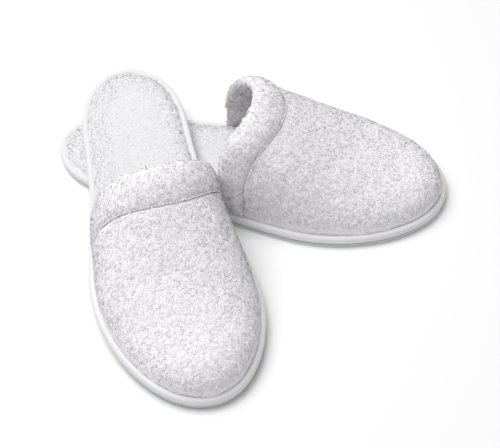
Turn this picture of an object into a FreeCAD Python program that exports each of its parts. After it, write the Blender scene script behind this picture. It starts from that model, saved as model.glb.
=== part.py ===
"""Pair of closed-toe terry spa slippers, one resting across the waist of the other.

Each slipper is built in its own frame: heel tip at the origin, +X to the toe, +Y to
the left of travel, +Z up from the underside. It is then placed in the pair's frame.
"""
import FreeCAD, Part
import math
import os
from FreeCAD import Placement, Rotation, Vector

# Sole pattern: station along the length, half width to the right, half width to the left.
# Both slippers are cut to this one shape. The soft toe may be pushed over to one side.
LENGTH = 280.0
PATTERN = [
    (9.0, 21.0, 21.0),
    (28.0, 33.8, 32.8),
    (61.0, 40.0, 36.0),
    (106.0, 45.0, 36.0),
    (151.0, 54.5, 43.0),
    (190.0, 60.0, 50.5),
    (229.0, 53.5, 48.0),
    (256.0, 40.0, 36.5),
    (273.0, 23.0, 21.0),
]

# Sole sandwich, levels above the underside
OUTSOLE_TOP = 3.4
MIDSOLE_TOP = 6.0
PADDING_EDGE_TOP = 7.0
COVER_EDGE_TOP = 7.7
BINDING_TOP = 8.6
PADDING_CROWN_TOP = 9.6
FOOTBED_TOP = 11.8
OUTSOLE_INSET = 0.6
BINDING_WALL = 1.3
BINDING_FLANGE = 4.4
BINDING_ROUND = 1.2
COVER_CROWN_INSET = 9.0
PADDING_CROWN_INSET = 11.0
CROWN_ROUND = 2.0
THREAD = 0.9
BINDING_THREAD_INSET = 3.6

# Upper: how far its foot stands in from the sole's edge, and the crest line over the toes
UPPER_INSET = 2.4
CREST = [
    (100.0, 81.0),
    (125.0, 80.0),
    (145.0, 75.5),
    (165.0, 64.5),
    (190.0, 48.0),
    (215.0, 34.0),
    (240.0, 25.0),
    (262.0, 20.5),
    (280.0, 19.0),
]
TOE_ROUND = 22.0
TOE_SQUARENESS = 2.2
SIDE_POWER = 0.90
TOP_POWER = 0.98
BULGE_BALL = 0.5
BULGE_FROM, BULGE_TO = 140.0, 190.0
FOOT_PINCH = 0.33
FLEECE = 2.6
INTERLINING = 2.0
LINING = 1.2

# Cuff
CUFF_WIDTH = 23.5
CUFF_THICKNESS = 11.0
CUFF_SINK = 2.0
CUFF_SKIN = 2.4
CUFF_GAP = 0.4
CUFF_FOOT = 0.22

TOE_SWING_FROM = 150.0

# The left sole folds across its waist, behind the cuff
FOLD_STATION = 104.0
FOLD_GAP = 0.3


class Lie:
    """How one slipper lies: where its heel stands, how it is turned, and how its soft shape is pushed over."""

    def __init__(self, heel, yaw, pitch, toe_swing, seam_feet, seam_crest, seam_curve, cuff_feet, bulges):
        self.heel, self.yaw, self.pitch = heel, yaw, pitch
        self.toe_swing = toe_swing  # sideways at the toe's tip, to the left
        self.seam_feet, self.seam_crest = seam_feet, seam_crest  # stations: right and left foot, crest
        self.seam_curve = seam_curve  # how late the seam comes forward on its way up to the crest
        self.cuff_feet = cuff_feet  # width of the cuff at its right and left foot
        self.bulges = bulges  # how far the waist of the upper stands out to the right and left


RIGHT = Lie(
    heel=Vector(-138.4, 82.4, 0.0), yaw=-8.5, pitch=0.0, toe_swing=-2.5,
    seam_feet=(142.0, 138.0), seam_crest=165.0, seam_curve=3.0, cuff_feet=(13.0, 21.0), bulges=(2.0, 3.0))
LEFT = Lie(
    heel=Vector(-95.3, 135.3, 20.9), yaw=-75.4, pitch=4.12, toe_swing=2.0,
    seam_feet=(162.0, 140.0), seam_crest=168.0, seam_curve=1.7, cuff_feet=(28.0, 20.0), bulges=(0.5, 5.0))

EDGE_POINTS = 56
ARCH_POINTS = 25
TOE_POINTS = 16
CUFF_SECTIONS = 21
CUFF_POINTS = 16


def ring(points):
    """Closed smooth curve through points."""
    curve = Part.BSplineCurve()
    curve.interpolate(points, PeriodicFlag=True)
    return curve


def pattern_curve():
    right = [Vector(u, -r, 0) for u, r, l in PATTERN]
    left = [Vector(u, l, 0) for u, r, l in reversed(PATTERN)]
    return ring([Vector(0, 0, 0)] + right + [Vector(LENGTH, 0, 0)] + left)


PATTERN_CURVE = pattern_curve()


def swing(u, lie):
    """How far the toe is pushed over at station u."""
    return lie.toe_swing * (max(0.0, u - TOE_SWING_FROM) / (LENGTH - TOE_SWING_FROM)) ** 2


def edge_curve(inset, lie):
    """The sole's outline, moved in by inset."""
    first, last = PATTERN_CURVE.FirstParameter, PATTERN_CURVE.LastParameter
    points = []
    for i in range(EDGE_POINTS):
        t = first + (last - first) * i / EDGE_POINTS
        along = PATTERN_CURVE.tangent(t)[0]
        point = PATTERN_CURVE.value(t) + Vector(-along.y, along.x, 0) * inset
        points.append(point + Vector(0, swing(point.x, lie), 0))
    return ring(points)


def slab(lie, inset, low, high, top_round=0.0):
    """A layer of the sole: the outline, moved in by inset, from low to high."""
    face = Part.Face(Part.Wire(edge_curve(inset, lie).toShape()))
    face.translate(Vector(0, 0, low))
    solid = face.extrude(Vector(0, 0, high - low))
    if top_round:
        top = [e for e in solid.Edges if abs(e.BoundBox.ZMin - high) < 0.01 and e.BoundBox.ZLength < 0.01]
        solid = solid.makeFillet(top_round, top)
    return solid


def table(rows, u):
    """Smooth curve through rows of (station, value)."""
    last = len(rows) - 2
    k = max(0, min(last, sum(1 for row in rows[1:] if u > row[0])))
    (u0, a), (u1, b) = rows[k], rows[k + 1]
    before = rows[max(0, k - 1)]
    after = rows[min(len(rows) - 1, k + 2)]
    slope_a = (b - before[1]) / (u1 - before[0])
    slope_b = (after[1] - a) / (after[0] - u0)
    x = (u - u0) / (u1 - u0)
    rise = (u1 - u0) * (x * (1 - x) ** 2 * slope_a - x * x * (1 - x) * slope_b)
    return a + (b - a) * x * x * (3 - 2 * x) + rise


def half_widths(curve, toe_point, u):
    """Half width to the right and to the left of an outline at station u."""
    first, last = curve.FirstParameter, curve.LastParameter
    heel = curve.parameter(Vector(0, 0, 0))
    heel = first if heel > (first + last) / 2 else heel
    toe = curve.parameter(toe_point)
    widths = []
    for low, high in ((heel, toe), (last, toe)):
        for _ in range(40):
            middle = (low + high) / 2
            if curve.value(middle).x < u:
                low = middle
            else:
                high = middle
        widths.append(curve.value(low).y)
    return -widths[0], widths[1]


class Upper:
    """The surface at a given depth below the outside of the upper."""

    def __init__(self, depth, lie):
        self.depth, self.lie = depth, lie
        inset = UPPER_INSET + FOOT_PINCH * depth
        self.foot = edge_curve(inset, lie)
        tip = self.foot.value(self.foot.parameter(Vector(LENGTH - inset, swing(LENGTH, lie), 0)))
        self.tip = Vector(tip.x, tip.y, BINDING_TOP)

    def point(self, u, angle):
        """Point over station u, angle going from the right foot (0) over the crest to the left (pi)."""
        if self.tip.x - u < 0.01:
            return self.tip
        side, rise = -math.cos(angle), math.sin(angle)
        right, left = half_widths(self.foot, self.tip, u)
        into_toe = max(0.0, (u - self.tip.x + TOE_ROUND) / TOE_ROUND)
        blunt = max(0.0, 1 - into_toe ** TOE_SQUARENESS) ** (1 / TOE_SQUARENESS)
        height = (table(CREST, u) - self.depth) * blunt
        waist = max(0.0, min(1.0, (BULGE_TO - u) / (BULGE_TO - BULGE_FROM)))
        bulge = BULGE_BALL * blunt + (self.lie.bulges[side > 0] - BULGE_BALL) * waist
        lean_in = (1 - FOOT_PINCH) * self.depth * blunt
        half = (right + left) / 2 + (bulge - lean_in) * (1 - (1 - rise) ** 3)
        y = (left - right) / 2 + half * math.copysign(abs(side) ** SIDE_POWER, side)
        return Vector(u, y, BINDING_TOP + height * max(rise, 0.0) ** TOP_POWER)

    def outward(self, u, angle):
        """Direction out of the surface, across the slipper. At the feet it lies level."""
        if min(angle, math.pi - angle) < 0.001:
            return Vector(0, math.copysign(1, angle - 1), 0)
        step = 0.02
        a = self.point(u, max(0.0, angle - step))
        b = self.point(u, min(math.pi, angle + step))
        return Vector(0, a.z - b.z, b.y - a.y).normalize()


def foot_to_foot(pair, angle):
    """Value that goes smoothly from the right foot's to the left foot's."""
    right, left = pair
    return right + (left - right) * (1 - math.cos(angle)) / 2


def seam_station(angle, lie):
    side = foot_to_foot(lie.seam_feet, angle)
    return side + (lie.seam_crest - side) * max(math.sin(angle), 0.0) ** lie.seam_curve


def arch_angles(count):
    return [math.pi * j / (count - 1) for j in range(count)]


def upper_surface(depth, lie):
    """The upper from the cuff seam to the toe, as one smooth face."""
    upper = Upper(depth, lie)
    rows = []
    for i in range(TOE_POINTS):
        reach = math.sin(math.pi / 2 * i / (TOE_POINTS - 1))
        row = []
        for angle in arch_angles(ARCH_POINTS):
            seam = seam_station(angle, lie)
            row.append(upper.point(seam + (upper.tip.x - seam) * reach, angle))
        rows.append(row)
    surface = Part.BSplineSurface()
    surface.interpolate(rows)
    return surface


def solid_of(faces):
    """Solid inside faces that meet edge to edge."""
    shell = Part.makeShell(faces)
    shell.sewShape(1e-3)
    solid = Part.makeSolid(Part.Shell(shell.Faces))
    if solid.Volume < 0:
        solid.reverse()
    return solid


def strip(curve, other):
    """Ruled face between two curves that run the same way."""
    return Part.makeRuledSurface(curve.toShape(), other.toShape(), 1)


def upper_layer(outer_depth, inner_depth, lie):
    """One layer of the upper: two smooth faces, closed at the seam and along both feet."""
    outer, inner = upper_surface(outer_depth, lie), upper_surface(inner_depth, lie)
    return solid_of([
        outer.toShape(),
        inner.toShape(),
        strip(outer.uIso(0), inner.uIso(0)),
        strip(outer.vIso(0), inner.vIso(0)),
        strip(outer.vIso(outer.bounds()[3]), inner.vIso(inner.bounds()[3])),
    ])


def cuff_surface(skin, lie):
    """The padded cuff's roll, skin below its outside, as one face from foot to foot."""
    upper = Upper(0, lie)
    rows = []
    for angle in arch_angles(CUFF_SECTIONS):
        rise = max(math.sin(angle), 0.0)
        foot_width = foot_to_foot(lie.cuff_feet, angle)
        width = foot_width + (CUFF_WIDTH - foot_width) * min(1.0, 1.5 * rise)
        middle = seam_station(angle, lie) - CUFF_GAP - width / 2
        full = CUFF_FOOT + (1 - CUFF_FOOT) * (1 - (1 - rise) ** 4)
        half_thickness = (CUFF_THICKNESS / 2 - skin) * full
        half_width = width / 2 - skin
        row = []
        for i in range(CUFF_POINTS + 1):
            turn = 2 * math.pi * i / CUFF_POINTS
            u = middle + half_width * math.cos(turn)
            out = half_thickness * math.sin(turn) - CUFF_SINK * full
            row.append(upper.point(u, angle) + upper.outward(u, angle) * out)
        rows.append(row)
    surface = Part.BSplineSurface()
    surface.interpolate(rows)
    return surface


def cuff_ends(surface):
    return surface.uIso(0), surface.uIso(surface.bounds()[1])


def cuff_fleece(lie):
    outer, inner = cuff_surface(0, lie), cuff_surface(CUFF_SKIN, lie)
    rims = [strip(a, b) for a, b in zip(cuff_ends(outer), cuff_ends(inner))]
    return solid_of([outer.toShape(), inner.toShape()] + rims)


def cuff_wadding(lie):
    surface = cuff_surface(CUFF_SKIN, lie)
    caps = [Part.Face(Part.Wire(end.toShape())) for end in cuff_ends(surface)]
    return solid_of([surface.toShape()] + caps)


def tube_along(points, radius):
    """Thread of round section through points."""
    path = Part.BSplineCurve()
    path.interpolate(points)
    start = path.tangent(path.FirstParameter)[0]
    section = Part.Wire(Part.makeCircle(radius, points[0], start))
    return Part.Wire(path.toShape()).makePipeShell([section], True, False)


def cuff_thread(lie):
    upper = Upper(0, lie)
    points = []
    for angle in arch_angles(CUFF_SECTIONS)[1:-1]:
        u = seam_station(angle, lie) - CUFF_GAP - THREAD / 2
        points.append(upper.point(u, angle) + upper.outward(u, angle) * THREAD)
    return tube_along(points, THREAD / 2)


def sole_pieces(lie):
    def layer(*sizes):
        return slab(lie, *sizes)

    outsole = layer(OUTSOLE_INSET, 0, OUTSOLE_TOP)
    midsole = layer(BINDING_WALL, OUTSOLE_TOP, MIDSOLE_TOP)
    padding = layer(BINDING_WALL, MIDSOLE_TOP, PADDING_EDGE_TOP).fuse(
        layer(PADDING_CROWN_INSET, MIDSOLE_TOP, PADDING_CROWN_TOP))
    cover = layer(BINDING_WALL, PADDING_EDGE_TOP, COVER_EDGE_TOP).fuse(
        layer(BINDING_FLANGE, PADDING_EDGE_TOP, BINDING_TOP)).fuse(
        layer(COVER_CROWN_INSET, PADDING_EDGE_TOP, FOOTBED_TOP, CROWN_ROUND)).cut(
        layer(PADDING_CROWN_INSET, MIDSOLE_TOP, PADDING_CROWN_TOP))
    half = THREAD / 4
    thread = layer(BINDING_THREAD_INSET - half, BINDING_TOP - half, BINDING_TOP).cut(
        layer(BINDING_THREAD_INSET + half, BINDING_TOP - 1, BINDING_TOP + 1))
    binding = layer(0, OUTSOLE_TOP, BINDING_TOP, BINDING_ROUND).cut(
        layer(BINDING_WALL, OUTSOLE_TOP, COVER_EDGE_TOP)).cut(
        layer(BINDING_FLANGE, OUTSOLE_TOP, BINDING_TOP + 1)).cut(thread)
    return {
        "outsole": outsole,
        "midsole": midsole,
        "insole_padding": padding,
        "footbed_cover": cover,
        "edge_binding": binding,
        "binding_stitching": thread,
    }


def upper_pieces(lie):
    foam = FLEECE + INTERLINING
    return {
        "upper_fleece": upper_layer(0, FLEECE, lie),
        "upper_interlining": upper_layer(FLEECE, foam, lie),
        "upper_lining": upper_layer(foam, foam + LINING, lie),
        "cuff_fleece": cuff_fleece(lie),
        "cuff_wadding": cuff_wadding(lie),
        "cuff_stitching": cuff_thread(lie),
    }


def half_space(heel_side):
    """Block over the sole on one side of the fold line."""
    margin = 50.0
    if heel_side:
        start, length = -margin, FOLD_STATION - FOLD_GAP / 2 + margin
    else:
        start, length = FOLD_STATION + FOLD_GAP / 2, LENGTH + margin
    return Part.makeBox(length, 4 * margin, margin, Vector(start, -2 * margin, -1))


def place(shape, lie):
    turn = Rotation(Vector(0, 0, 1), lie.yaw).multiply(Rotation(Vector(0, 1, 0), lie.pitch))
    placed = shape.copy()
    placed.Placement = Placement(lie.heel, turn).multiply(placed.Placement)
    return placed


def write(name, shape):
    shape.exportStep("parts/" + name + ".step")
    solids = shape.Solids
    print(name, "solids", len(solids), "valid", shape.isValid(), "volume", round(shape.Volume))


os.makedirs("parts", exist_ok=True)

for piece, shape in {**sole_pieces(RIGHT), **upper_pieces(RIGHT)}.items():
    write("right_" + piece, place(shape, RIGHT))

for piece, shape in sole_pieces(LEFT).items():
    for half_name, heel_side in (("heel", True), ("front", False)):
        cut = shape.common(half_space(heel_side))
        write("left_" + half_name + "_" + piece, place(cut, LEFT))

for piece, shape in upper_pieces(LEFT).items():
    write("left_" + piece, place(shape, LEFT))
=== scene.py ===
"""Pair of closed-toe terry spa slippers, the left one resting across the waist of the right one.

Each slipper is worked out in its own frame, in metres: heel tip at the origin, +X to the
toe, +Y to the left of travel, +Z up from the underside. It is then set down in its place.
"""
import math

import bmesh
import bpy
import numpy as np
from mathutils import Euler, Matrix, Vector, kdtree, noise


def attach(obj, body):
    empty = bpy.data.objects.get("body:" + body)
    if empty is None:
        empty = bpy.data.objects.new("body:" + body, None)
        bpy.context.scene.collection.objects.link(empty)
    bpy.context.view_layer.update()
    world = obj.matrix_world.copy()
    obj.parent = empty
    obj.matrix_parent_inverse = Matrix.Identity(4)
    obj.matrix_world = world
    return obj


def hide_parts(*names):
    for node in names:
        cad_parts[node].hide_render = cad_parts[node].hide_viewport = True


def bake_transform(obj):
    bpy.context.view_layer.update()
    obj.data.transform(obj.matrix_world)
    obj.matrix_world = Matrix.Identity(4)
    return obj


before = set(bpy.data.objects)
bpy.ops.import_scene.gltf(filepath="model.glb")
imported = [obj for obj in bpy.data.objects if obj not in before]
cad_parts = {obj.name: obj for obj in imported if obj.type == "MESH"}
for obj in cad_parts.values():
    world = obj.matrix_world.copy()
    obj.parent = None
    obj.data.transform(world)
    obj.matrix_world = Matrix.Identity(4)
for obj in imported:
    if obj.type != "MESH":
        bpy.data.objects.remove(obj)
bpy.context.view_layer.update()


# The stage: a plain white table top in an even white room, with one large soft lamp high
# over the pair, a little to the left and behind, and a faint one in front. The viewer
# stands in front of the left slipper's toe and looks down on the pair.
VIEW_CENTRE = Vector((-0.0009, 0.0139, 0.0))
VIEW_DISTANCE = 1.023
VIEW_ELEVATION = math.radians(52.5)
VIEW_LENS = 104.9
TABLE_HALF = 2.0
TABLE_DROP = 0.0004
TABLE_WHITE = (0.95, 0.95, 0.95, 1.0)
ROOM_COLOUR = (0.985, 0.98, 1.0, 1.0)
ROOM_LIGHT = 0.36
LAMPS = {
    "window_lamp": {"place": (-0.48, 0.16, 1.52), "size": 1.1, "watts": 22.5},
    "fill_lamp": {"place": (0.5, -1.2, 1.5), "size": 1.6, "watts": 1.0},
}

viewer = bpy.data.objects.new("viewer", bpy.data.cameras.new("viewer"))
viewer.data.sensor_width = 36.0
viewer.data.lens = VIEW_LENS
viewer.location = VIEW_CENTRE + VIEW_DISTANCE * Vector(
    (0, -math.cos(VIEW_ELEVATION), math.sin(VIEW_ELEVATION)))
viewer.rotation_euler = Euler((math.pi / 2 - VIEW_ELEVATION, 0, 0))
bpy.context.scene.collection.objects.link(viewer)
bpy.context.scene.camera = viewer
bpy.context.scene.view_settings.view_transform = "Standard"

room = bpy.data.worlds.new("white_room")
room.use_nodes = True
room.node_tree.nodes["Background"].inputs["Color"].default_value = ROOM_COLOUR
room.node_tree.nodes["Background"].inputs["Strength"].default_value = ROOM_LIGHT
bpy.context.scene.world = room

for lamp_name, facts in LAMPS.items():
    lamp = bpy.data.objects.new(lamp_name, bpy.data.lights.new(lamp_name, "AREA"))
    lamp.data.size = facts["size"]
    lamp.data.energy = facts["watts"]
    lamp.location = facts["place"]
    lamp.rotation_euler = Vector(facts["place"]).to_track_quat("Z", "Y").to_euler()
    bpy.context.scene.collection.objects.link(lamp)

table_top = bpy.data.objects.new("table_top", bpy.data.meshes.new("table_top"))
corners = [(-1, -1), (1, -1), (1, 1), (-1, 1)]
table_top.data.from_pydata(
    [(x * TABLE_HALF, y * TABLE_HALF, -TABLE_DROP) for x, y in corners], [], [(0, 1, 2, 3)])
table_white = bpy.data.materials.new("table_white")
table_white.use_nodes = True
for socket, value in {"Base Color": TABLE_WHITE, "Roughness": 0.9, "Specular IOR Level": 0.1}.items():
    table_white.node_tree.nodes["Principled BSDF"].inputs[socket].default_value = value
table_top.data.materials.append(table_white)
bpy.context.scene.collection.objects.link(table_top)


# The outsole: a die-cut sheet of pale closed-cell rubber foam, glued under everything else.
# Both soles are cut to one pattern, with wavy ribs moulded into the underside. Each soft toe
# is pushed a little to one side.
LENGTH = 0.280
PATTERN = [
    (0.009, 0.0210, 0.0210),
    (0.028, 0.0338, 0.0328),
    (0.061, 0.0400, 0.0360),
    (0.106, 0.0450, 0.0360),
    (0.151, 0.0545, 0.0430),
    (0.190, 0.0600, 0.0505),
    (0.229, 0.0535, 0.0480),
    (0.256, 0.0400, 0.0365),
    (0.273, 0.0230, 0.0210),
]
OUTSOLE_TOP = 0.0034
OUTSOLE_RIM = [
    (0.0013, 0.0), (0.0008, 0.0003), (0.0006, 0.0009), (0.00055, 0.0018),
    (0.0007, 0.0026), (0.0012, 0.0031), (0.0018, 0.0034),
]
RIB_PITCH = 0.0052
RIB_DEPTH = 0.0006
RIB_SWAY = 0.0016
RIB_SWAY_PITCH = 0.019
RIB_MARGIN = 0.006
# How high up the outsole's rim the painted shade of the gap under the binding begins and is full.
GAP_SHADE_FROM, GAP_SHADE_TO = 0.62, 0.78
TOE_SWING_FROM = 0.150
TOE_SWING = {"right": -0.0025, "left": 0.0020}


def placing(heel, yaw, pitch):
    turn = Matrix.Rotation(math.radians(yaw), 4, "Z") @ Matrix.Rotation(math.radians(pitch), 4, "Y")
    return Matrix.Translation(heel) @ turn


PAIR = {
    "right": placing((-0.1384, 0.0824, 0.0), yaw=-8.5, pitch=0.0),
    "left": placing((-0.0953, 0.1353, 0.0209), yaw=-75.4, pitch=4.12),
}


def smooth_ring(points, per_span):
    """Points along the smooth closed curve through points, per_span of them to each span."""
    points = np.array(points)
    count = len(points)
    ahead = np.roll(points, -1, 0)
    step = np.linalg.norm(ahead - points, axis=1)
    back = np.roll(step, 1)
    here = np.arange(count)
    system = np.zeros((count, count))
    system[here, here] = 2 * (step + back)
    system[here, (here + 1) % count] = step
    system[here, (here - 1) % count] = back
    slope = (ahead - points) / step[:, None]
    bend = np.linalg.solve(system, 6 * (slope - np.roll(slope, 1, 0)))
    t = np.linspace(0, 1, per_span, endpoint=False)[None, :, None]
    s = 1 - t
    curved = (s ** 3 - s) * bend[:, None] + (t ** 3 - t) * np.roll(bend, -1, 0)[:, None]
    spans = s * points[:, None] + t * ahead[:, None] + step[:, None, None] ** 2 / 6 * curved
    return spans.reshape(-1, 2)


right_side = [(u, -right) for u, right, left in PATTERN]
left_side = [(u, left) for u, right, left in reversed(PATTERN)]
OUTLINE = smooth_ring([(0, 0)] + right_side + [(LENGTH, 0)] + left_side, per_span=100)
TOE_INDEX = 100 * (len(PATTERN) + 1)
OUTLINE = np.vstack([OUTLINE, OUTLINE[:1]])
walked = np.concatenate([[0], np.cumsum(np.linalg.norm(np.diff(OUTLINE, axis=0), axis=1))])
PERIMETER = walked[-1]
EDGE_SHARE = np.where(
    walked <= walked[TOE_INDEX],
    walked / walked[TOE_INDEX],
    1 + (walked - walked[TOE_INDEX]) / (PERIMETER - walked[TOE_INDEX]))
tangent = np.gradient(OUTLINE, axis=0)
tangent[0] = tangent[-1] = OUTLINE[1] - OUTLINE[-2]
tangent /= np.linalg.norm(tangent, axis=1)[:, None]
INWARD = np.column_stack([-tangent[:, 1], tangent[:, 0]])


def sole_edge(share, inset):
    """Points on the sole's edge moved in by inset. Share goes 0 at the heel, 1 at the toe, 2 at the heel."""
    columns = [
        np.interp(share, EDGE_SHARE, OUTLINE[:, k]) + inset * np.interp(share, EDGE_SHARE, INWARD[:, k])
        for k in (0, 1)
    ]
    return np.stack(columns, axis=-1)


edge_tree = kdtree.KDTree(len(OUTLINE))
for index, (x, y) in enumerate(OUTLINE):
    edge_tree.insert((x, y, 0), index)
edge_tree.balance()


def edge_distance(flat):
    """How far each point of a flat grid is from the sole's edge."""
    return np.array([edge_tree.find((x, y, 0))[2] for x, y in flat.reshape(-1, 2)]).reshape(flat.shape[:-1])


def plate(inset, along, across):
    """Flat grid inside the sole's edge, moved in by inset: rows to the toe, columns right to left."""
    share = np.linspace(0, 1, along)
    width = np.linspace(0, 1, across)[None, :, None]
    return sole_edge(share, inset)[:, None] * (1 - width) + sole_edge(2 - share, inset)[:, None] * width


def lift(flat, height):
    """Flat grid or line of points raised to a height."""
    return np.concatenate([flat, np.broadcast_to(height, flat.shape[:-1])[..., None]], axis=-1)


def rim(profile, along):
    """The sole's edge swept with a profile of (inset, height), as rings of points round the sole."""
    share = np.linspace(0, 1, along)
    around = np.concatenate([share, 2 - share[-2:0:-1]])
    return np.stack([lift(sole_edge(around, inset), height) for inset, height in profile])


def grid_faces(rows, columns, wrap_rows=False, wrap_columns=False, start=0):
    i, j = np.meshgrid(
        np.arange(rows if wrap_rows else rows - 1),
        np.arange(columns if wrap_columns else columns - 1), indexing="ij")
    i2, j2 = (i + 1) % rows, (j + 1) % columns
    corners = [i * columns + j, i2 * columns + j, i2 * columns + j2, i * columns + j2]
    return start + np.stack(corners, -1).reshape(-1, 4)


def sew(name, points, faces, finish, side, weld=0.0, marks=None, normals=None):
    """A piece made of points and faces in its slipper's frame, its toe pushed over, set down in its place."""
    mesh = bpy.data.meshes.new(name)
    points = points.reshape(-1, 3).copy()
    toe = np.maximum(points[:, 0] - TOE_SWING_FROM, 0) / (LENGTH - TOE_SWING_FROM)
    points[:, 1] += TOE_SWING[side] * toe ** 2
    mesh.from_pydata(points, [], faces)
    for mark, values in (marks or {}).items():
        attribute = mesh.attributes.new(mark, "FLOAT", "POINT")
        attribute.data.foreach_set("value", values.astype(np.float32).ravel())
    if weld:
        work = bmesh.new()
        work.from_mesh(mesh)
        bmesh.ops.remove_doubles(work, verts=work.verts, dist=weld)
        bmesh.ops.recalc_face_normals(work, faces=work.faces)
        work.to_mesh(mesh)
        work.free()
    mesh.transform(PAIR[side])
    mesh.shade_smooth()
    if normals is not None:
        mesh.normals_split_custom_set_from_vertices(normals @ np.array(PAIR[side].to_3x3()).T)
    mesh.materials.append(finish)
    piece = bpy.data.objects.new(name, mesh)
    bpy.context.scene.collection.objects.link(piece)
    return piece


def sew_sheets(name, sheets, finish, side, marks=None):
    """A closed piece made of grids of points that meet along their edges. A ring grid wraps round."""
    faces, start = [], 0
    for grid, wraps in sheets:
        rows, columns = grid.shape[:2]
        faces += grid_faces(rows, columns, wrap_columns=wraps, start=start).tolist()
        start += rows * columns
    points = np.concatenate([grid.reshape(-1, 3) for grid, wraps in sheets])
    return sew(name, points, faces, finish, side, weld=2e-6, marks=marks)


def join_sole(piece, side, part, stands_for=True):
    """Fixes a piece of the sole: a right one to its slipper, a left one where it lies. A left one may stand
    for both the heel and the front of the left sole.
    """
    if side == "right":
        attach(piece, "right_slipper")
        nodes = ["right_" + part]
    else:
        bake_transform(piece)
        nodes = ["left_heel_" + part, "left_front_" + part]
    if stands_for:
        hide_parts(*nodes)


class Dye:
    """One socket of a finish. Sums on it add Math nodes, and node() adds any other kind of node."""

    def __init__(self, tree, socket=None):
        self.tree, self.socket = tree, socket

    def node(self, kind, settings=None, sockets=None, output=0):
        made = self.tree.nodes.new("ShaderNode" + kind)
        for name, value in (settings or {}).items():
            setattr(made, name, value)
        for name, value in (sockets or {}).items():
            if isinstance(value, Dye):
                self.tree.links.new(value.socket, made.inputs[name])
            else:
                made.inputs[name].default_value = value
        return Dye(self.tree, made.outputs[output])

    def sum(self, operation, first, second):
        return self.node("Math", {"operation": operation}, {0: first, 1: second})

    def __add__(self, other):
        return self.sum("ADD", self, other)

    def __sub__(self, other):
        return self.sum("SUBTRACT", self, other)

    def __rsub__(self, other):
        return self.sum("SUBTRACT", other, self)

    def __mul__(self, other):
        return self.sum("MULTIPLY", self, other)

    __radd__, __rmul__ = __add__, __mul__

    def between(self, low, high):
        """Colour from low to high as this goes from 0 to 1. Either may be a colour or another socket."""
        return self.node("Mix", {"data_type": "RGBA"}, {0: self, 6: low, 7: high}, output=2)

    def feed(self, shader, socket):
        self.tree.links.new(self.socket, shader.inputs[socket])


def new_finish(name, fixed):
    """An empty finish, its shader with the fixed values set, and places on the piece in metres."""
    finish = bpy.data.materials.new(name)
    finish.use_nodes = True
    shader = finish.node_tree.nodes["Principled BSDF"]
    for socket, value in fixed.items():
        shader.inputs[socket].default_value = value
    return finish, shader, Dye(finish.node_tree).node("TexCoord", output="Object")


def grain(place, size, detail=2.0):
    """Soft irregular pattern about size metres across, from 0 to 1."""
    return place.node("TexNoise", sockets={"Vector": place, "Scale": 1 / size, "Detail": detail})


def pores(place, size):
    """Cell pattern about size metres across: 0 in the middle of each cell."""
    return place.node("TexVoronoi", sockets={"Vector": place, "Scale": 1 / size})


def emboss(shader, height, depth, strength=1.0):
    """Raises the surface by height times depth, in metres."""
    bump = height.node("Bump", sockets={"Height": height, "Distance": depth, "Strength": strength})
    bump.feed(shader, "Normal")


def rubber_finish():
    """Pale grey-green foam rubber, with a dark line of painted shade along the top of its rim, in the gap
    under the binding's overhang.
    """
    finish, shader, place = new_finish("outsole_foam", {"Specular IOR Level": 0.35})
    mottle = grain(place, 0.006, detail=3.0)
    plain = mottle.between((0.70, 0.735, 0.70, 1), (0.80, 0.825, 0.80, 1))
    rise = place.node("Attribute", {"attribute_name": "rim_rise"}, output="Fac")
    # Painted shade: the top of the rim is coloured dark, as the shadow in the gap under the binding.
    gap_shade = place.node("MapRange", sockets={"Value": rise, "From Min": GAP_SHADE_FROM, "From Max": GAP_SHADE_TO})
    gap_shade.between(plain, (0.20, 0.22, 0.20, 1)).feed(shader, "Base Color")
    (0.5 + mottle * 0.25).feed(shader, "Roughness")
    emboss(shader, pores(place, 0.0007) + grain(place, 0.0003), 0.0001)
    return finish


def ribs(flat):
    """How deep the underside is moulded at each point of a flat grid."""
    x, y = flat[..., 0], flat[..., 1]
    wave = np.sin(2 * np.pi * (x + RIB_SWAY * np.sin(2 * np.pi * y / RIB_SWAY_PITCH)) / RIB_PITCH)
    inside = np.clip((edge_distance(flat) - RIB_MARGIN) / 0.0015, 0, 1)
    return RIB_DEPTH * inside * np.clip(0.5 + 1.1 * wave, 0, 1)


outsole_foam = rubber_finish()
SOLE_ROWS = 300
for side in PAIR:
    under = plate(OUTSOLE_RIM[0][0], SOLE_ROWS, 110)
    over = plate(OUTSOLE_RIM[-1][0], SOLE_ROWS, 12)
    sheets = [
        (lift(under, ribs(under)), False),
        (rim(OUTSOLE_RIM, SOLE_ROWS), True),
        (lift(over, OUTSOLE_TOP), False),
    ]
    rises = np.concatenate([sheet[..., 2].ravel() for sheet, wraps in sheets]) / OUTSOLE_TOP
    outsole = sew_sheets(side + "_outsole", sheets, outsole_foam, side, marks={"rim_rise": rises})
    join_sole(outsole, side, "outsole")


# The midsole: a thin stiff foam board between the outsole and the padding. The binding
# hides its edge.
MIDSOLE_RIM = [(0.0019, 0.00345), (0.0015, 0.0036), (0.0015, 0.0057), (0.0019, 0.0059)]


def board_finish():
    finish, shader, place = new_finish("midsole_board", {"Specular IOR Level": 0.2})
    mottle = grain(place, 0.0015, detail=4.0)
    mottle.between((0.62, 0.62, 0.6, 1), (0.74, 0.74, 0.71, 1)).feed(shader, "Base Color")
    (0.75 + grain(place, 0.004) * 0.2).feed(shader, "Roughness")
    emboss(shader, pores(place, 0.0008), 0.00015)
    return finish


midsole_board = board_finish()
for side in PAIR:
    (low_inset, low), (high_inset, high) = MIDSOLE_RIM[0], MIDSOLE_RIM[-1]
    midsole = sew_sheets(side + "_midsole", [
        (lift(plate(low_inset, SOLE_ROWS, 12), low), False),
        (rim(MIDSOLE_RIM, SOLE_ROWS), True),
        (lift(plate(high_inset, SOLE_ROWS, 12), high), False),
    ], midsole_board, side)
    join_sole(midsole, side, "midsole")


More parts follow.
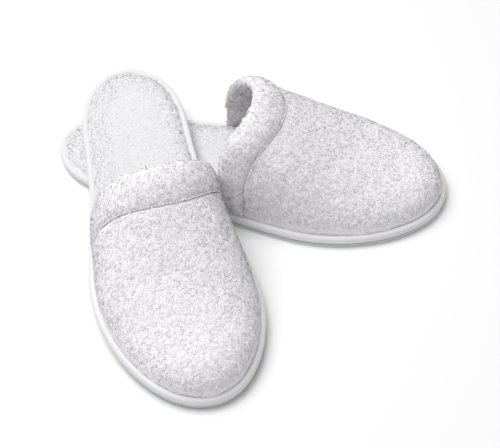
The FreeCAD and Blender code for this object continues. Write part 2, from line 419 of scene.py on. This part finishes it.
# The insole padding: soft open-cell foam, thin under the binding and crowned in the middle,
# which gives the footbed its cushion.
PADDING_LOW = 0.00595
PADDING_RIM = 0.0070
CROWN_EDGE = 0.0040
CROWN_REACH = 0.0105
FOOTBED_EDGE = 0.0080
FOOTBED_TOP = 0.0114
TERRY = 0.0019
PADDING_INSET = 0.0015
PADDING_CLEARANCE = 0.0002


def crown(distance, edge, top):
    """Height of a cushion over the sole, rising from its edge and flat in the middle."""
    into = np.clip((distance - CROWN_EDGE) / CROWN_REACH, 0, 1)
    return edge + (top - edge) * (1 - (1 - into) ** 2.4)


def soft_foam_finish():
    finish, shader, place = new_finish("soft_foam", {"Specular IOR Level": 0.1})
    cells = pores(place, 0.0009)
    cells.between((0.86, 0.855, 0.82, 1), (0.72, 0.71, 0.68, 1)).feed(shader, "Base Color")
    (0.85 + grain(place, 0.003) * 0.1).feed(shader, "Roughness")
    emboss(shader, cells, 0.0003)
    return finish


soft_foam = soft_foam_finish()
for side in PAIR:
    flat = plate(PADDING_INSET, SOLE_ROWS, 60)
    top = crown(edge_distance(flat), PADDING_RIM, FOOTBED_TOP - TERRY - PADDING_CLEARANCE)
    padding = sew_sheets(side + "_insole_padding", [
        (lift(flat, PADDING_LOW), False),
        (rim([(PADDING_INSET, PADDING_LOW), (PADDING_INSET, PADDING_RIM)], SOLE_ROWS), True),
        (lift(flat, top), False),
    ], soft_foam, side)
    join_sole(padding, side, "insole_padding")


# The footbed cover: short white terry laid over the padding and caught under the binding.
# Its loops are worn smooth in the middle and stand up a little towards the edge.
COVER_INSET = 0.0016
LOOP_SIZE = 0.0016
LOOP_HEIGHT = 0.0005
FOOTBED_ROWS = 360
FOOTBED_COLUMNS = 104
FOOTBED_TUFT_GAP = 0.00125
FOOTBED_TUFT_REACH = 0.215
FOOTBED_TUFT_LENGTH = 0.0016
FOOTBED_TUFT_WIDTH = 0.00042
FOOTBED_TUFT_SINK = 0.0003
PILE_LOFT = 0.30
PILE_RELIEF = 0.28


def lumps(points, size, seed):
    """Smooth irregular heights from -1 to 1, about size metres across."""
    shifted = points.reshape(-1, 3) / size + seed
    return np.array([noise.noise(p) for p in map(Vector, shifted)]).reshape(points.shape[:-1])


def knots(points, size, seed):
    """Rounded knobs about size metres across: 1 on top of each and 0 between them."""
    shifted = points.reshape(-1, 3) / size + seed
    near = np.array([noise.voronoi(p)[0][0] for p in map(Vector, shifted)]).reshape(points.shape[:-1])
    return np.clip(1 - near, 0, 1)


def unit(vectors):
    return vectors / np.maximum(np.linalg.norm(vectors, axis=-1, keepdims=True), 1e-12)


def grid_normals(grid):
    normals = unit(np.cross(np.gradient(grid, axis=0), np.gradient(grid, axis=1)))
    for end, near in ((0, 1), (-1, -2)):
        flat = np.linalg.norm(normals[end], axis=-1) < 0.5
        normals[end][flat] = normals[near][flat]
    return normals


def scatter(grid, gap, dice):
    """Even but irregular places over a grid, none nearer than gap: row, column and shares in the cell."""
    a, b, c, d = grid[:-1, :-1], grid[1:, :-1], grid[1:, 1:], grid[:-1, 1:]
    area = np.linalg.norm(np.cross(c - a, d - b), axis=-1).ravel() / 2
    tries = int(5 * area.sum() / gap ** 2)
    cell = dice.choice(len(area), size=tries, p=area / area.sum())
    row, column = np.divmod(cell, grid.shape[1] - 1)
    place = (row, column, dice.random(tries), dice.random(tries))
    points = at(grid, place)
    kept, taken = [], {}
    keys = np.floor(points / gap).astype(int)
    near = [(i, j, k) for i in (-1, 0, 1) for j in (-1, 0, 1) for k in (-1, 0, 1)]
    for n, (key, p) in enumerate(zip(map(tuple, keys.tolist()), points.tolist())):
        for i, j, k in near:
            q = taken.get((key[0] + i, key[1] + j, key[2] + k))
            if q and (p[0] - q[0]) ** 2 + (p[1] - q[1]) ** 2 + (p[2] - q[2]) ** 2 < gap * gap:
                break
        else:
            taken[key] = p
            kept.append(n)
    return tuple(part[kept] for part in place)


def at(values, place):
    """Values of a grid at scattered places."""
    row, column, a, b = place
    a, b = a[:, None], b[:, None]
    near = values[row, column] * (1 - a) + values[row + 1, column] * a
    far = values[row, column + 1] * (1 - a) + values[row + 1, column + 1] * a
    return near * (1 - b) + far * b


def tufts(root, up, lean, length, width, dice):
    """Locks of pile, each a three-sided taper that rises from its root and lies over.

    Gives points, faces, marks and normals. The normals stay near the cloth's own, so that the
    pile takes the light as a soft mass.
    """
    count = len(root)
    lean = unit(lean - up * np.sum(lean * up, axis=1, keepdims=True))
    side = np.cross(lean, up)
    spin = dice.random((count, 1)) * 2 * np.pi
    rings, facing = [], []
    for share, girth in ((0.0, 1.0), (0.4, 0.9), (0.78, 0.55)):
        middle = root + length * (up * PILE_LOFT * (1 - (1 - share) ** 2) + lean * 0.85 * share ** 1.4)
        tilt = 1.3 * share
        across = lean * math.cos(tilt) - up * math.sin(tilt)
        for corner in range(3):
            turn = spin + 2 * np.pi * corner / 3
            outward = np.cos(turn) * side + np.sin(turn) * across
            rings.append(middle + width * girth * outward)
            facing.append(up + PILE_RELIEF * outward)
    rings.append(root + length * (up * PILE_LOFT * 0.9 + lean * 0.93))
    facing.append(up + PILE_RELIEF * lean)
    points = np.stack(rings, axis=1)
    normals = unit(np.stack(facing, axis=1)).reshape(-1, 3)
    quads = [(0, 1, 4, 3), (1, 2, 5, 4), (2, 0, 3, 5), (3, 4, 7, 6), (4, 5, 8, 7), (5, 3, 6, 8)]
    tips = [(6, 7, 9), (7, 8, 9), (8, 6, 9), (2, 1, 0)]
    start = 10 * np.arange(count)[:, None, None]
    faces = (start + np.array(quads)).reshape(-1, 4).tolist()
    faces += (start + np.array(tips)).reshape(-1, 3).tolist()
    # pile_height along each lock: low at the root, where the finish paints shade, and high at the tip.
    heights = np.tile([0.0] * 3 + [0.45] * 3 + [0.8] * 3 + [1.0], count)
    return points, faces, {"pile_height": heights}, normals


def terry_finish(name, low, high, loop, sheen):
    """White cotton or fleece: darker down in the pile as painted shade, with fine fibres and a soft bloom."""
    finish, shader, place = new_finish(name, {
        "Roughness": 0.95, "Specular IOR Level": 0.15, "Sheen Weight": sheen, "Sheen Roughness": 0.6})
    depth = place.node("Attribute", {"attribute_name": "pile_height"}, output="Fac")
    mottle = grain(place, 0.009, detail=3.0)
    # Base Color: painted shade darkens the cloth where pile_height is low, at the roots of the locks and
    # between loops and knobs; the mottle is the cloth's own uneven tone.
    (depth * 0.8 + mottle * 0.35).between(low, high).feed(shader, "Base Color")
    emboss(shader, pores(place, loop) * -0.6 + grain(place, loop * 0.4, detail=3.0), loop * 0.35)
    return finish


footbed_terry = terry_finish("footbed_terry", (0.80, 0.80, 0.81, 1), (0.86, 0.86, 0.87, 1), 0.0009, sheen=0.1)
for side in PAIR:
    dice = np.random.default_rng({"right": 11, "left": 12}[side])
    seed = dice.random(3) * 50
    flat = plate(COVER_INSET, FOOTBED_ROWS, FOOTBED_COLUMNS)
    distance = edge_distance(flat)
    smooth = lift(flat, crown(distance, FOOTBED_EDGE, FOOTBED_TOP))
    free = np.clip((distance - 0.004) / 0.002, 0, 1)
    worn = np.clip((distance - 0.004) / 0.018, 0, 1)
    loops = knots(smooth, LOOP_SIZE, seed) * LOOP_HEIGHT * (1.3 - 0.8 * worn)
    rise = loops + 0.0004 * lumps(smooth, 0.022, seed) + 0.00015 * lumps(smooth, 0.005, seed)
    top = lift(flat, smooth[..., 2] + rise * free)
    bottom = lift(flat, crown(distance, FOOTBED_EDGE, FOOTBED_TOP) - 0.8 * TERRY * (0.5 + 0.5 * free))
    # pile_height on the cover: high on the loops and low between them and on the underside, where the finish
    # paints shade.
    marks = np.concatenate([
        (0.35 + 0.5 * np.clip(loops / LOOP_HEIGHT, 0, 1)).ravel(), np.full(bottom[..., 2].size, 0.3)])
    cover = sew_sheets(
        side + "_footbed_cover", [(top, False), (bottom, False)], footbed_terry, side,
        marks={"pile_height": marks})
    join_sole(cover, side, "footbed_cover")

    place = scatter(top, FOOTBED_TUFT_GAP, dice)
    root = at(top, place)
    chosen = (root[:, 0] < FOOTBED_TUFT_REACH) & (at(distance[..., None], place)[:, 0] > 0.0046)
    place = tuple(part[chosen] for part in place)
    root, up = root[chosen], at(grid_normals(smooth), place)
    border = 1 - at(worn[..., None], place)
    count = len(root)
    forward, sideways = 0.9 + lumps(root, 0.012, seed), lumps(root, 0.01, seed + 9) * 1.5
    lean = np.column_stack([forward, sideways, np.zeros(count)])
    lean += dice.normal(0, 0.45, (count, 3))
    length = (FOOTBED_TUFT_LENGTH + 0.0012 * border) * dice.uniform(0.8, 1.2, (count, 1))
    points, faces, marks, normals = tufts(
        root - up * FOOTBED_TUFT_SINK, unit(up), lean, length, FOOTBED_TUFT_WIDTH + 0.0001 * border, dice)
    pile = sew(side + "_footbed_pile", points, faces, footbed_terry, side, marks=marks, normals=normals)
    join_sole(pile, side, "footbed_cover", stands_for=False)


# The edge binding: white bias-cut tape wrapped from under the midsole over the rim and
# onto the footbed, plump like piping. It follows the whole sole.
BINDING_SECTION = [
    (0.0013, 0.00355), (0.0006, 0.00350), (0.0001, 0.0040), (-0.0001, 0.0050), (-0.0001, 0.0062),
    (0.0001, 0.0074), (0.0006, 0.0084), (0.0014, 0.00895), (0.0024, 0.0091), (0.0034, 0.0089),
    (0.0041, 0.0085), (0.0044, 0.0080), (0.0040, 0.0077), (0.0028, 0.0076), (0.0016, 0.0073),
    (0.0013, 0.0066), (0.0013, 0.0055), (0.0013, 0.0045),
]
BINDING_POINTS = 1100
STITCH_PITCH = 0.0032
STITCH_INSET = 0.0034


def tape_finish():
    """Bias tape: fine diagonal threads each way, and a slight bloom."""
    finish, shader, place = new_finish("binding_tape", {
        "Roughness": 0.75, "Specular IOR Level": 0.25, "Sheen Weight": 0.1})
    run = place.node("Attribute", {"attribute_name": "tape_run"}, output="Fac")
    rise = place.node("Attribute", {"attribute_name": "tape_rise"}, output="Fac")
    turn = 2 * math.pi / 0.00055
    warp = place.node("Math", {"operation": "SINE"}, {0: (run + rise) * turn})
    weft = place.node("Math", {"operation": "SINE"}, {0: (run - rise) * turn})
    weave = 0.5 + (warp + weft) * 0.25
    shade = weave * 0.25 + grain(place, 0.004, detail=3.0) * 0.75
    shade.between((0.76, 0.755, 0.77, 1), (0.86, 0.855, 0.865, 1)).feed(shader, "Base Color")
    emboss(shader, weave, 0.00006)
    return finish


binding_tape = tape_finish()
stitches = round(PERIMETER / STITCH_PITCH)
for side in PAIR:
    dice = np.random.default_rng({"right": 21, "left": 22}[side])
    seed = dice.random(3) * 50
    around = np.linspace(0, 2, BINDING_POINTS, endpoint=False)
    pull = 0.5 + 0.5 * np.cos(2 * np.pi * stitches * around / 2)
    rings = []
    for inset, height in BINDING_SECTION:
        ring = lift(sole_edge(around, inset), height)
        slack = lumps(ring, 0.012, seed) * 0.00012
        outer = max(0.0, 1 - max(inset, 0) / 0.0013)
        ring[..., :2] = sole_edge(around, inset) - (sole_edge(around, 1.0) - sole_edge(around, 0.0)) * (
            (slack + 0.00008 * pull) * outer)[:, None]
        upper_face = max(0.0, (height - 0.0076) / 0.0015)
        ring[..., 2] += (slack - 0.00016 * (1 - pull) * (inset > 0.002)) * upper_face
        rings.append(ring)
    rings = np.stack(rings)
    rows, columns = rings.shape[:2]
    girth = np.cumsum([0] + [math.dist(a, b) for a, b in zip(BINDING_SECTION, BINDING_SECTION[1:])])
    binding = sew(
        side + "_edge_binding", rings, grid_faces(rows, columns, True, True).tolist(), binding_tape, side,
        marks={
            "tape_run": np.broadcast_to(around * PERIMETER / 2, (rows, columns)),
            "tape_rise": np.broadcast_to(girth[:, None], (rows, columns)),
        })
    join_sole(binding, side, "edge_binding")


# The binding's stitching: one row of white cotton lockstitch near the tape's inner edge,
# pulled a little into the tape.
STITCH_LENGTH = 0.0024
STITCH_RADIUS = 0.00026
BINDING_STITCH_HEIGHT = 0.0088


def thread_finish():
    finish, shader, place = new_finish("white_thread", {"Specular IOR Level": 0.3, "Sheen Weight": 0.1})
    sockets = {"Vector": place, "Scale": 900.0, "Distortion": 1.0}
    ply = place.node("TexWave", {"bands_direction": "DIAGONAL"}, sockets)
    ply.between((0.80, 0.80, 0.81, 1), (0.92, 0.92, 0.92, 1)).feed(shader, "Base Color")
    (0.6 + ply * 0.15).feed(shader, "Roughness")
    emboss(shader, ply, 0.00005)
    return finish


def dashes(starts, ends, up, radius):
    """Stitches, each a thread that comes out of the cloth, lies along it and goes in again."""
    along = unit(ends - starts)
    side = np.cross(up, along)
    rings = []
    for share in np.linspace(0, 1, 7):
        bow = math.sin(math.pi * share)
        girth = radius * (0.35 + 0.65 * bow ** 0.5)
        middle = starts + (ends - starts) * share + up * radius * (1.6 * bow ** 0.6 - 1.2)
        for turn in np.linspace(0, 2 * np.pi, 6, endpoint=False):
            rings.append(middle + girth * (math.cos(turn) * side + math.sin(turn) * up))
    points = np.stack(rings, axis=1)
    tube = grid_faces(7, 6, wrap_columns=True)
    start = 42 * np.arange(len(starts))[:, None, None]
    caps = np.array([[5, 4, 3, 2, 1, 0], [36, 37, 38, 39, 40, 41]])
    faces = (start + tube).reshape(-1, 4).tolist() + (start + caps).reshape(-1, 6).tolist()
    return points, faces


white_thread = thread_finish()
for side in PAIR:
    middle = (np.arange(stitches) + 0.5) * 2 / stitches
    half = STITCH_LENGTH / PERIMETER
    starts = lift(sole_edge(middle - half, STITCH_INSET), BINDING_STITCH_HEIGHT)
    ends = lift(sole_edge(middle + half, STITCH_INSET), BINDING_STITCH_HEIGHT)
    up = np.broadcast_to([0.0, 0.0, 1.0], starts.shape)
    points, faces = dashes(starts, ends, up, STITCH_RADIUS)
    stitching = sew(side + "_binding_stitching", points, faces, white_thread, side)
    join_sole(stitching, side, "binding_stitching")


# The upper: one panel of long-pile white fleece, cut wide at the cuff and drawn down round
# the toe. Its foot is sewn to the binding, where the pile is trimmed. The rest is brushed
# towards the toe and down.
BINDING_TOP = 0.0086
UPPER_INSET = 0.0032
CREST = np.array([
    (0.100, 0.0810), (0.125, 0.0800), (0.145, 0.0755), (0.165, 0.0645), (0.190, 0.0480),
    (0.215, 0.0340), (0.240, 0.0250), (0.262, 0.0205), (0.280, 0.0190),
])
TOE_ROUND = 0.022
TOE_SQUARENESS = 2.2
SIDE_POWER = 0.90
TOP_POWER = 0.98
BULGE_WAIST = {"right": (0.0020, 0.0030), "left": (0.0005, 0.0050)}
BULGE_BALL = 0.0005
BULGE_FROM, BULGE_TO = 0.140, 0.190
FOOT_PINCH = 0.33
FLEECE = 0.0026
SEAM_FEET = {"right": (0.142, 0.138), "left": (0.158, 0.140)}
SEAM_CREST = {"right": 0.165, "left": 0.168}
SEAM_CURVE = {"right": 3.0, "left": 1.7}
UPPER_ROWS, UPPER_COLUMNS = 190, 250
PILE_GAP = 0.00100
PILE_LENGTH = 0.0030
PILE_WIDTH = 0.00044
PILE_SINK = 0.0006
TRIMMED_HEIGHT, TRIMMED_SHARE = 0.008, 0.5


def crest_height(u):
    """Height of the upper's top line over station u, smooth through the crest's points."""
    u = np.clip(u, CREST[0, 0], CREST[-1, 0])
    k = np.clip(np.searchsorted(CREST[:, 0], u) - 1, 0, len(CREST) - 2)
    before, after = np.maximum(k - 1, 0), np.minimum(k + 2, len(CREST) - 1)
    x0, y0, x1, y1 = CREST[k, 0], CREST[k, 1], CREST[k + 1, 0], CREST[k + 1, 1]
    slope0 = (y1 - CREST[before, 1]) / (x1 - CREST[before, 0])
    slope1 = (CREST[after, 1] - y0) / (CREST[after, 0] - x0)
    x = (u - x0) / (x1 - x0)
    bend = (x1 - x0) * (x * (1 - x) ** 2 * slope0 - x * x * (1 - x) * slope1)
    return y0 + (y1 - y0) * x * x * (3 - 2 * x) + bend


def upper_points(u, angle, depth, lie):
    """Points depth below the outside of one upper. Angle goes 0 at its right foot, pi at its left one."""
    inset = UPPER_INSET + FOOT_PINCH * depth
    share = (1 - np.cos(np.linspace(0, np.pi, 1200))) / 2
    right_foot, left_foot = sole_edge(share, inset), sole_edge(2 - share, inset)
    tip = right_foot[-1, 0]
    u = np.minimum(u, tip)
    right = -np.interp(u, right_foot[:, 0], right_foot[:, 1])
    left = np.interp(u, left_foot[:, 0], left_foot[:, 1])
    side, rise = -np.cos(angle), np.maximum(np.sin(angle), 0)
    into_toe = np.clip((u - tip + TOE_ROUND) / TOE_ROUND, 0, 1)
    blunt = np.maximum(1 - into_toe ** TOE_SQUARENESS, 0) ** (1 / TOE_SQUARENESS)
    height = (crest_height(u) - depth) * blunt
    waist = np.clip((BULGE_TO - u) / (BULGE_TO - BULGE_FROM), 0, 1)
    bulge_right, bulge_left = BULGE_WAIST[lie]
    bulge = BULGE_BALL * blunt + (np.where(side > 0, bulge_left, bulge_right) - BULGE_BALL) * waist
    lean_in = (1 - FOOT_PINCH) * depth * blunt
    half = (right + left) / 2 + (bulge - lean_in) * (1 - (1 - rise) ** 3)
    y = (left - right) / 2 + half * np.copysign(np.abs(side) ** SIDE_POWER, side)
    return np.stack(np.broadcast_arrays(u, y, BINDING_TOP + height * rise ** TOP_POWER), axis=-1)


def foot_to_foot(pair, angle):
    """Value that goes smoothly from the right foot's to the left foot's."""
    return pair[0] + (pair[1] - pair[0]) * (1 - np.cos(angle)) / 2


def seam_station(angle, lie):
    foot = foot_to_foot(SEAM_FEET[lie], angle)
    return foot + (SEAM_CREST[lie] - foot) * np.maximum(np.sin(angle), 0) ** SEAM_CURVE[lie]


def upper_sheet(depth, rows, columns, lie):
    """Grid over the upper at a depth: rows from the cuff seam to the toe, columns from foot to foot."""
    tip = LENGTH - UPPER_INSET - FOOT_PINCH * depth
    angle = np.linspace(0, np.pi, columns)[None, :]
    reach = np.sin(np.pi / 2 * np.linspace(0, 1, rows))[:, None]
    seam = seam_station(angle, lie)
    return upper_points(seam + (tip - seam) * reach, np.broadcast_to(angle, (rows, columns)), depth, lie)


def shell_sheets(outer, inner):
    """The grids of a closed shell between two sheets of the same size."""
    rims = [np.stack([outer[0], inner[0]]), np.stack([outer[-1], inner[-1]]),
            np.stack([outer[:, 0], inner[:, 0]]), np.stack([outer[:, -1], inner[:, -1]])]
    return [(outer, False), (inner, False)] + [(strip, False) for strip in rims]


def brushed(root, up, forward, seed, dice):
    """Which way each lock of pile lies: forward, downhill, and in small swirls."""
    downhill = np.array([0.0, 0.0, -1.0]) + up * up[:, 2:3]
    swirl = np.column_stack([lumps(root, 0.011, seed + k) for k in (3, 13, 23)])
    clump = np.column_stack([lumps(root, 0.0035, seed + k) for k in (5, 15, 25)])
    return 0.35 * forward + 0.6 * downhill + 0.7 * swirl + 1.1 * clump + dice.normal(0, 0.5, root.shape)


def fluffed(grid, seed, reach=1.0):
    """A sheet of fleece with its pile raised in lumps and knobs, and how high each point stands."""
    normals = grid_normals(grid)
    knobs = knots(grid, 0.0030, seed)
    rise = -0.0009 + 0.0006 * knobs
    rise += 0.0006 * lumps(grid, 0.024, seed) + 0.0003 * lumps(grid, 0.008, seed + 7)
    # The second value becomes pile_height: the finish paints shade between the knobs, where it is low.
    return grid + normals * (rise * reach)[..., None], 0.15 + 0.55 * knobs


def settle(piece, side, node=None):
    """Fixes a piece of the upper to its slipper."""
    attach(piece, side + "_slipper")
    if node:
        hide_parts(node)


fleece_pile = terry_finish("fleece_pile", (0.955, 0.93, 0.98, 1), (0.99, 0.982, 0.998, 1), 0.0012, sheen=0.15)
for side in PAIR:
    dice = np.random.default_rng({"right": 31, "left": 32}[side])
    seed = dice.random(3) * 50
    smooth = upper_sheet(0.0, UPPER_ROWS, UPPER_COLUMNS, side)
    fade = np.clip((1 - np.linspace(0, 1, UPPER_ROWS)) * 12, 0.15, 1)[:, None]
    outer, heights = fluffed(smooth, seed, reach=fade)
    inner = upper_sheet(FLEECE, UPPER_ROWS, UPPER_COLUMNS, side)
    sheets = shell_sheets(outer, inner)
    # pile_height: knob values outside, 0.2 on the hidden sides, which the finish paints dark as shade.
    marks = np.concatenate([heights.ravel(), np.full(sum(s[0][..., 0].size for s in sheets[1:]), 0.2)])
    fleece = sew_sheets(side + "_upper_fleece", sheets, fleece_pile, side, marks={"pile_height": marks})
    settle(fleece, side, side + "_upper_fleece")

    place = scatter(outer, PILE_GAP, dice)
    root, up = at(outer, place), unit(at(grid_normals(smooth), place))
    forward = unit(at(np.gradient(smooth, axis=0), place))
    trim = np.clip((root[:, 2:3] - BINDING_TOP) / TRIMMED_HEIGHT, TRIMMED_SHARE, 1)
    length = PILE_LENGTH * dice.uniform(0.75, 1.2, (len(root), 1)) * trim
    points, faces, marks, normals = tufts(
        root - up * PILE_SINK, up, brushed(root, up, forward, seed, dice), length, PILE_WIDTH, dice)
    pile = sew(side + "_upper_pile", points, faces, fleece_pile, side, marks=marks, normals=normals)
    settle(pile, side)


# The interlining and the lining: a thin sheet of soft foam behind the fleece gives the
# upper its body, and short terry faces the foot.
INTERLINING = 0.0020
LINING = 0.0012
LAYER_CLEARANCE = 0.00005
lining_terry = terry_finish("lining_terry", (0.88, 0.88, 0.90, 1), (0.95, 0.95, 0.955, 1), 0.0010, sheen=0.1)
for side in PAIR:
    dice = np.random.default_rng({"right": 41, "left": 42}[side])
    seed = dice.random(3) * 50
    back = FLEECE + INTERLINING
    front_face = upper_sheet(FLEECE + LAYER_CLEARANCE, 90, 100, side)
    back_face = upper_sheet(back - LAYER_CLEARANCE, 90, 100, side)
    interlining = sew_sheets(
        side + "_upper_interlining", shell_sheets(front_face, back_face), soft_foam, side)
    settle(interlining, side, side + "_upper_interlining")
    face = upper_sheet(back + LINING, 180, 230, side)
    loops = knots(face, 0.0018, seed)
    fade = np.clip((1 - np.linspace(0, 1, 180)) * 12, 0.1, 1)[:, None]
    rise = 0.0004 * loops + 0.0004 * lumps(face, 0.02, seed) - 0.0002
    face = face - grid_normals(face) * (rise * fade)[..., None]
    sheets = shell_sheets(upper_sheet(back + LAYER_CLEARANCE, 180, 230, side), face)
    # pile_height on the lining: 0.3 on the hidden sides and higher on the loops of the face, where the finish
    # paints less shade.
    marks = [np.full(grid[..., 0].size, 0.3) for grid, wraps in sheets]
    marks[1] = 0.3 + 0.6 * loops.ravel()
    lining = sew_sheets(
        side + "_upper_lining", sheets, lining_terry, side, marks={"pile_height": np.concatenate(marks)})
    settle(lining, side, side + "_upper_lining")


# The cuff: a strip of the same fleece rolled round soft wadding and sewn to the back edge
# of the upper. It is full over the instep and pressed thin where it meets the sole.
CUFF_WIDTH = 0.0235
CUFF_FEET = {"right": (0.013, 0.021), "left": (0.023, 0.020)}
CUFF_THICKNESS = 0.011
CUFF_SINK = 0.002
CUFF_SKIN = 0.0024
CUFF_GAP = 0.0004
CUFF_FOOT = 0.22
CUFF_ROWS, CUFF_COLUMNS = 300, 110
CUFF_PILE_GAP = 0.00105


def across_upper(u, angle, lie):
    """Direction out of the upper, across the slipper. At the feet it lies level."""
    step = 0.02
    a = upper_points(u, np.maximum(angle - step, 0), 0.0, lie)
    b = upper_points(u, np.minimum(angle + step, np.pi), 0.0, lie)
    out = np.stack([np.zeros(a.shape[:-1]), a[..., 2] - b[..., 2], b[..., 1] - a[..., 1]], axis=-1)
    foot = np.minimum(angle, np.pi - angle) < 0.001
    level = np.stack([np.zeros(angle.shape), np.sign(angle - 1), np.zeros(angle.shape)], axis=-1)
    return np.where(foot[..., None], level, unit(out))


def cuff_roll(skin, rows, columns, lie):
    """Grid round the cuff, skin below its outside: rows from foot to foot, columns round the roll."""
    angle = np.broadcast_to(np.linspace(0, np.pi, rows)[:, None], (rows, columns))
    turn = np.linspace(0, 2 * np.pi, columns)[None, :]
    rise = np.maximum(np.sin(angle), 0)
    foot_width = foot_to_foot(CUFF_FEET[lie], angle)
    width = foot_width + (CUFF_WIDTH - foot_width) * np.minimum(1, 1.5 * rise)
    middle = seam_station(angle, lie) - CUFF_GAP - width / 2
    full = CUFF_FOOT + (1 - CUFF_FOOT) * (1 - (1 - rise) ** 4)
    u = middle + (width / 2 - skin) * np.cos(turn)
    out = (CUFF_THICKNESS / 2 - skin) * full * np.sin(turn) - CUFF_SINK * full
    return upper_points(u, angle, 0.0, lie) + across_upper(u, angle, lie) * out[..., None]


def wadding_finish():
    finish, shader, place = new_finish("wadding", {"Specular IOR Level": 0.1})
    mottle = grain(place, 0.002, detail=5.0)
    mottle.between((0.80, 0.80, 0.80, 1), (0.9, 0.9, 0.9, 1)).feed(shader, "Base Color")
    (0.85 + grain(place, 0.005) * 0.1).feed(shader, "Roughness")
    emboss(shader, grain(place, 0.0012, detail=5.0), 0.0006)
    return finish


wadding = wadding_finish()
for side in PAIR:
    dice = np.random.default_rng({"right": 51, "left": 52}[side])
    seed = dice.random(3) * 50
    core = cuff_roll(CUFF_SKIN + 0.0001, 90, 40, side)
    ends = [np.stack([row, np.broadcast_to(row.mean(0), row.shape)]) for row in (core[0], core[-1])]
    filling = sew_sheets(
        side + "_cuff_wadding", [(core, False)] + [(end, False) for end in ends], wadding, side)
    settle(filling, side, side + "_cuff_wadding")

    smooth = cuff_roll(0.0, CUFF_ROWS, CUFF_COLUMNS, side)
    outer, heights = fluffed(smooth, seed)
    outer[:, -1] = outer[:, 0]
    inner = cuff_roll(CUFF_SKIN, CUFF_ROWS, CUFF_COLUMNS, side)
    sheets = [(outer, False), (inner, False)] + [(np.stack([outer[k], inner[k]]), False) for k in (0, -1)]
    # pile_height: knob values outside, 0.2 on the hidden sides, which the finish paints dark as shade.
    marks = np.concatenate([heights.ravel(), np.full(sum(s[0][..., 0].size for s in sheets[1:]), 0.2)])
    roll = sew_sheets(side + "_cuff_fleece", sheets, fleece_pile, side, marks={"pile_height": marks})
    settle(roll, side, side + "_cuff_fleece")

    place = scatter(outer, CUFF_PILE_GAP, dice)
    root, up = at(outer, place), unit(at(grid_normals(smooth), place))
    forward = np.broadcast_to([1.0, 0.0, 0.0], root.shape)
    length = PILE_LENGTH * dice.uniform(0.75, 1.2, (len(root), 1))
    points, faces, marks, normals = tufts(
        root - up * PILE_SINK, up, brushed(root, up, forward, seed, dice), length, PILE_WIDTH, dice)
    pile = sew(side + "_cuff_pile", points, faces, fleece_pile, side, marks=marks, normals=normals)
    settle(pile, side)


# The cuff's stitching: a row of white lockstitch sunk in the valley between cuff and upper.
CUFF_STITCHES = 74
CUFF_STITCH_RADIUS = 0.0004
CUFF_STITCH_SHARE = 0.78
CUFF_STITCH_SETBACK = 0.00045
CUFF_STITCH_RISE = 0.0001
CUFF_STITCH_END = 0.12
for side in PAIR:
    angle = np.linspace(CUFF_STITCH_END, np.pi - CUFF_STITCH_END, CUFF_STITCHES + 1)
    u = seam_station(angle, side) - CUFF_GAP - CUFF_STITCH_SETBACK
    out = across_upper(u, angle, side)
    line = upper_points(u, angle, 0.0, side) + out * CUFF_STITCH_RISE
    ends = line[:-1] + (line[1:] - line[:-1]) * CUFF_STITCH_SHARE
    points, faces = dashes(line[:-1], ends, out[:-1], CUFF_STITCH_RADIUS)
    stitching = sew(side + "_cuff_stitching", points, faces, white_thread, side)
    settle(stitching, side, side + "_cuff_stitching")
